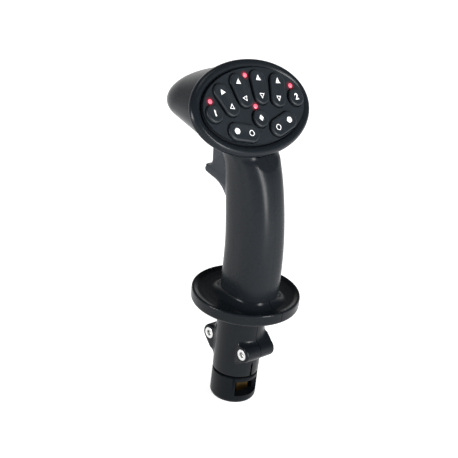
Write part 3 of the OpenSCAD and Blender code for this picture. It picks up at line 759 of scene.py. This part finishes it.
# Each rocker: its place across and up the face with its turn in degrees, and the ways in degrees
# that its solid and its hollow arrow point. The low ones carry a dot and a ring instead.
keys = {"rocker_far_left": ((-23.4, 7.3, 18.8), (0, 90)),
        "rocker_near_left": ((-8.3, 11.8, 7), (90, 180)),
        "rocker_near_right": ((8.3, 11.8, -7), (90, -90)),
        "rocker_far_right": ((23.4, 7.3, -18.8), (90, -90)),
        "rocker_low_left": ((-18.2, -17, 73.3), None),
        "rocker_low_right": ((18.2, -17, -73.3), None)}
arrow_skew, mark_inset = 13, 0.15
for name, ((u, v, lean), ways) in keys.items():
    turn = np.radians(lean)
    cap = key_cap(name + "_cap", u, v, turn, rocker_half, rocker_top, rocker_foot)
    shade(cap.data, 60)
    finish(cap, silicone, name, [name])
    for end, y0, solid in (("upper", rocker_half - mark_inset, True),
                           ("lower", mark_inset - rocker_half, False)):
        if ways:
            outline, share = arrow(1.9, ways[0 if solid else 1] - arrow_skew - lean), 0.6
        else:
            outline, share = superellipse(2.15, 2.15, 2, 48), 0.76
        hole = None if solid else outline * share
        mark = printed(name + "_" + end + "_mark", outline, hole, u, v, turn, rocker_top, 0, y0)
        finish(mark, white_ink, name)

# ------------------------------------------------------------------ round keys
# Three silicone buttons 13 mm across with a dip for the fingertip: two numbered ones at
# the sides and a diamond in the middle. Each slides straight in on its click switch.

round_foot = -8.8


def numeral(text, size):
    """A printed numeral about the origin, in millimetres: its outline, with the ink's depth each way."""
    curve = bpy.data.curves.new("numeral", "FONT")
    curve.body = text
    curve.size = size
    curve.align_x, curve.align_y = "CENTER", "CENTER"
    curve.extrude = ink_depth
    curve.offset = 0.2
    letter = bpy.data.objects.new("numeral", curve)
    scene.collection.objects.link(letter)
    bpy.context.view_layer.update()
    graph = bpy.context.evaluated_depsgraph_get()
    mesh = bpy.data.meshes.new_from_object(letter.evaluated_get(graph))
    bpy.data.objects.remove(letter)
    return mesh


for name, u, v, sign in (("round_key_left", -37.35, -0.4, "1"), ("round_key_right", 37.35, -0.4, "2"),
                         ("round_key_centre", 0.0, -9.9, None)):
    cap = key_cap(name + "_cap", u, v, 0.0, 0.0, round_top, round_foot)
    shade(cap.data, 60)
    finish(cap, silicone, name, [name])
    if sign:
        mesh = numeral(sign, 6.2)
        p = np.empty(len(mesh.vertices) * 3)
        mesh.vertices.foreach_get("co", p)
        x, y, lift = p.reshape(-1, 3).T
        mesh.vertices.foreach_set("co", (on_face(u + x, v + y, round_top(x, y) + lift) * mm).ravel())
        mark = bpy.data.objects.new(name + "_numeral", mesh)
        scene.collection.objects.link(mark)
    else:
        diamond = polygon([[0, 2.3], [-1.9, 0], [0, -2.3], [1.9, 0]])
        mark = printed(name + "_mark", diamond, None, u, v, 0.0, round_top, 0, 0)
    finish(mark, white_ink, name)

# ------------------------------------------------------------------ bezel ring
# A rounded nylon ring that clamps the mat to the head. Its crown is a broad bead, and
# a narrow shadow gap runs between its inner lip and the pad.

# Section of the ring: [outset from the rim, level]
crown = catmull(np.array([[0.0, -8.2], [-0.15, -6.9], [-0.9, -5.3], [-2.2, -4.2],
                          [-3.6, -3.9], [-5.1, -4.2], [-6.4, -4.9], [-7.1, -5.7]]), 40)
profile = np.vstack([[[-1.4, -9.3], [-0.3, -9.0]], crown,
                     [[-7.3, -6.1], [-7.3, -10.5], [-6.2, -10.5], [-6.2, -9.3]]])
t = np.linspace(0, 2 * np.pi, 220, endpoint=False)[:, None]
bezel = skin("bezel_bead", on_face((rim_a + profile[:, 0]) * np.cos(t), (rim_b + profile[:, 0]) * np.sin(t),
                                   profile[:, 1][None, :]), loop=True)
shade(bezel.data, 45)
bezel_nylon = moulded_plastic("glass_filled_nylon_bezel", "#1a1f24", 0.24, 0.0009, 0.13)
finish(bezel, bezel_nylon, "housing", ["bezel_ring"])

# ------------------------------------------------------------------ studio
# A pale sweep under soft boxes, as a small part is shot for a catalogue: one box from
# the left, a tall strip in front that draws the long highlight down the handle, and a
# weak one above, under a dim sky.

scene.view_settings.view_transform = "Standard"

azimuth, elevation, roll = np.radians([-43.45, 25.61, 6.78])
distance, aside, aim_height = 997.95, -16.65, 134.34
back = np.array([np.sin(azimuth) * np.cos(elevation), -np.cos(azimuth) * np.cos(elevation),
                 np.sin(elevation)])
right = np.array([np.cos(azimuth), np.sin(azimuth), 0])
up = np.cross(back, right)
eye = (right * aside + np.array([0, 0, aim_height]) + back * distance) * mm
camera = bpy.data.objects.new("catalogue_camera", bpy.data.cameras.new("catalogue_camera"))
camera.data.sensor_width = 36
camera.data.lens = 110.52
camera.data.clip_end = 20
stance = np.eye(4)
stance[:3, 0] = np.cos(roll) * right + np.sin(roll) * up
stance[:3, 1] = np.cos(roll) * up - np.sin(roll) * right
stance[:3, 2] = back
stance[:3, 3] = eye
camera.matrix_world = Matrix(stance.tolist())
scene.collection.objects.link(camera)
scene.camera = camera

world = bpy.data.worlds.new("studio_sky")
world.use_nodes = True
scene.world = world
sky = world.node_tree
sky.nodes.clear()
ray = add(sky, "ShaderNodeLightPath")
seen = add(sky, "ShaderNodeMath", {0: ray.outputs["Is Camera Ray"], 1: ray.outputs["Is Transmission Ray"]},
           operation="MAXIMUM")
# Reflections see a white sweep that fades out between 5 and 25 degrees above the horizon, by the
# sine of the height, and the dim studio over it
way = add(sky, "ShaderNodeSeparateXYZ", {0: add(sky, "ShaderNodeTexCoord").outputs["Generated"]})
sweep = add(sky, "ShaderNodeMapRange", {"Value": way.outputs["Z"]},
            {"From Min": 0.09, "From Max": 0.42, "To Min": 1.0, "To Max": 0.0})
glossy = add(sky, "ShaderNodeMath", {0: ray.outputs["Is Glossy Ray"], 1: sweep.outputs[0]},
             operation="MULTIPLY")
seen = add(sky, "ShaderNodeMath", {0: seen.outputs[0], 1: glossy.outputs[0]}, operation="MAXIMUM")
dim = add(sky, "ShaderNodeBackground", inputs={"Color": linear("#ffffff"), "Strength": 0.10})
white = add(sky, "ShaderNodeBackground", inputs={"Color": linear("#ffffff"), "Strength": 1.0})
mix = add(sky, "ShaderNodeMixShader", {0: seen.outputs[0], 1: dim.outputs[0], 2: white.outputs[0]})
add(sky, "ShaderNodeOutputWorld", {"Surface": mix.outputs[0]})


def soft_box(name, place, aim, size, watts):
    """A rectangular area lamp at a place, facing a point, with its width and height in metres."""
    data = bpy.data.lights.new(name, "AREA")
    data.shape = "RECTANGLE"
    data.size, data.size_y = size
    data.energy = watts
    lamp = bpy.data.objects.new(name, data)
    lamp.rotation_euler = (Vector(aim) - Vector(place)).to_track_quat("-Z", "Y").to_euler()
    lamp.location = place
    scene.collection.objects.link(lamp)
    return lamp


soft_box("left_key", (-1.3, 0.35, 0.45), (0, 0.02, 0.17), (0.4, 0.4), 13.5)
soft_box("front_strip", (0.12, -1.25, 0.5), (0, 0, 0.16), (0.35, 0.9), 22)
soft_box("top_box", (0.2, 0.3, 1.4), (0, 0, 0.1), (0.5, 0.5), 2)

floor_mesh = bpy.data.meshes.new("studio_floor")
reach = 3
floor_mesh.from_pydata([(-reach, -reach, 0), (reach, -reach, 0), (reach, reach, 0), (-reach, reach, 0)],
                       [], [(0, 1, 2, 3)])
floor = bpy.data.objects.new("studio_floor", floor_mesh)
scene.collection.objects.link(floor)
paper, tree = blank_material("white_paper_sweep")
ray = add(tree, "ShaderNodeLightPath")
lit = add(tree, "ShaderNodeBsdfDiffuse", inputs={"Color": linear("#f4f4f4")})
# Away from the object the paper glows up to plain white, so that its far end doesn't show
away = add(tree, "ShaderNodeVectorMath", {0: add(tree, "ShaderNodeTexCoord").outputs["Object"]},
           operation="LENGTH")
power = add(tree, "ShaderNodeMapRange", {"Value": away.outputs["Value"]},
            {"From Min": 0.2, "From Max": 0.8, "To Min": 0.72, "To Max": 1.0})
glow = add(tree, "ShaderNodeEmission", {"Strength": power.outputs[0]}, {"Color": linear("#ffffff")})
both = add(tree, "ShaderNodeAddShader", {0: lit.outputs[0], 1: glow.outputs[0]})
seen = add(tree, "ShaderNodeMath", {0: ray.outputs["Is Camera Ray"], 1: ray.outputs["Is Transmission Ray"]},
           operation="MAXIMUM")
seen = add(tree, "ShaderNodeMath", {0: seen.outputs[0], 1: ray.outputs["Is Glossy Ray"]},
           operation="MAXIMUM")
mix = add(tree, "ShaderNodeMixShader", {0: seen.outputs[0], 1: lit.outputs[0], 2: both.outputs[0]})
add(tree, "ShaderNodeOutputMaterial", {"Surface": mix.outputs[0]})
floor_mesh.materials.append(paper)
floor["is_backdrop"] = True

low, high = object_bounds()
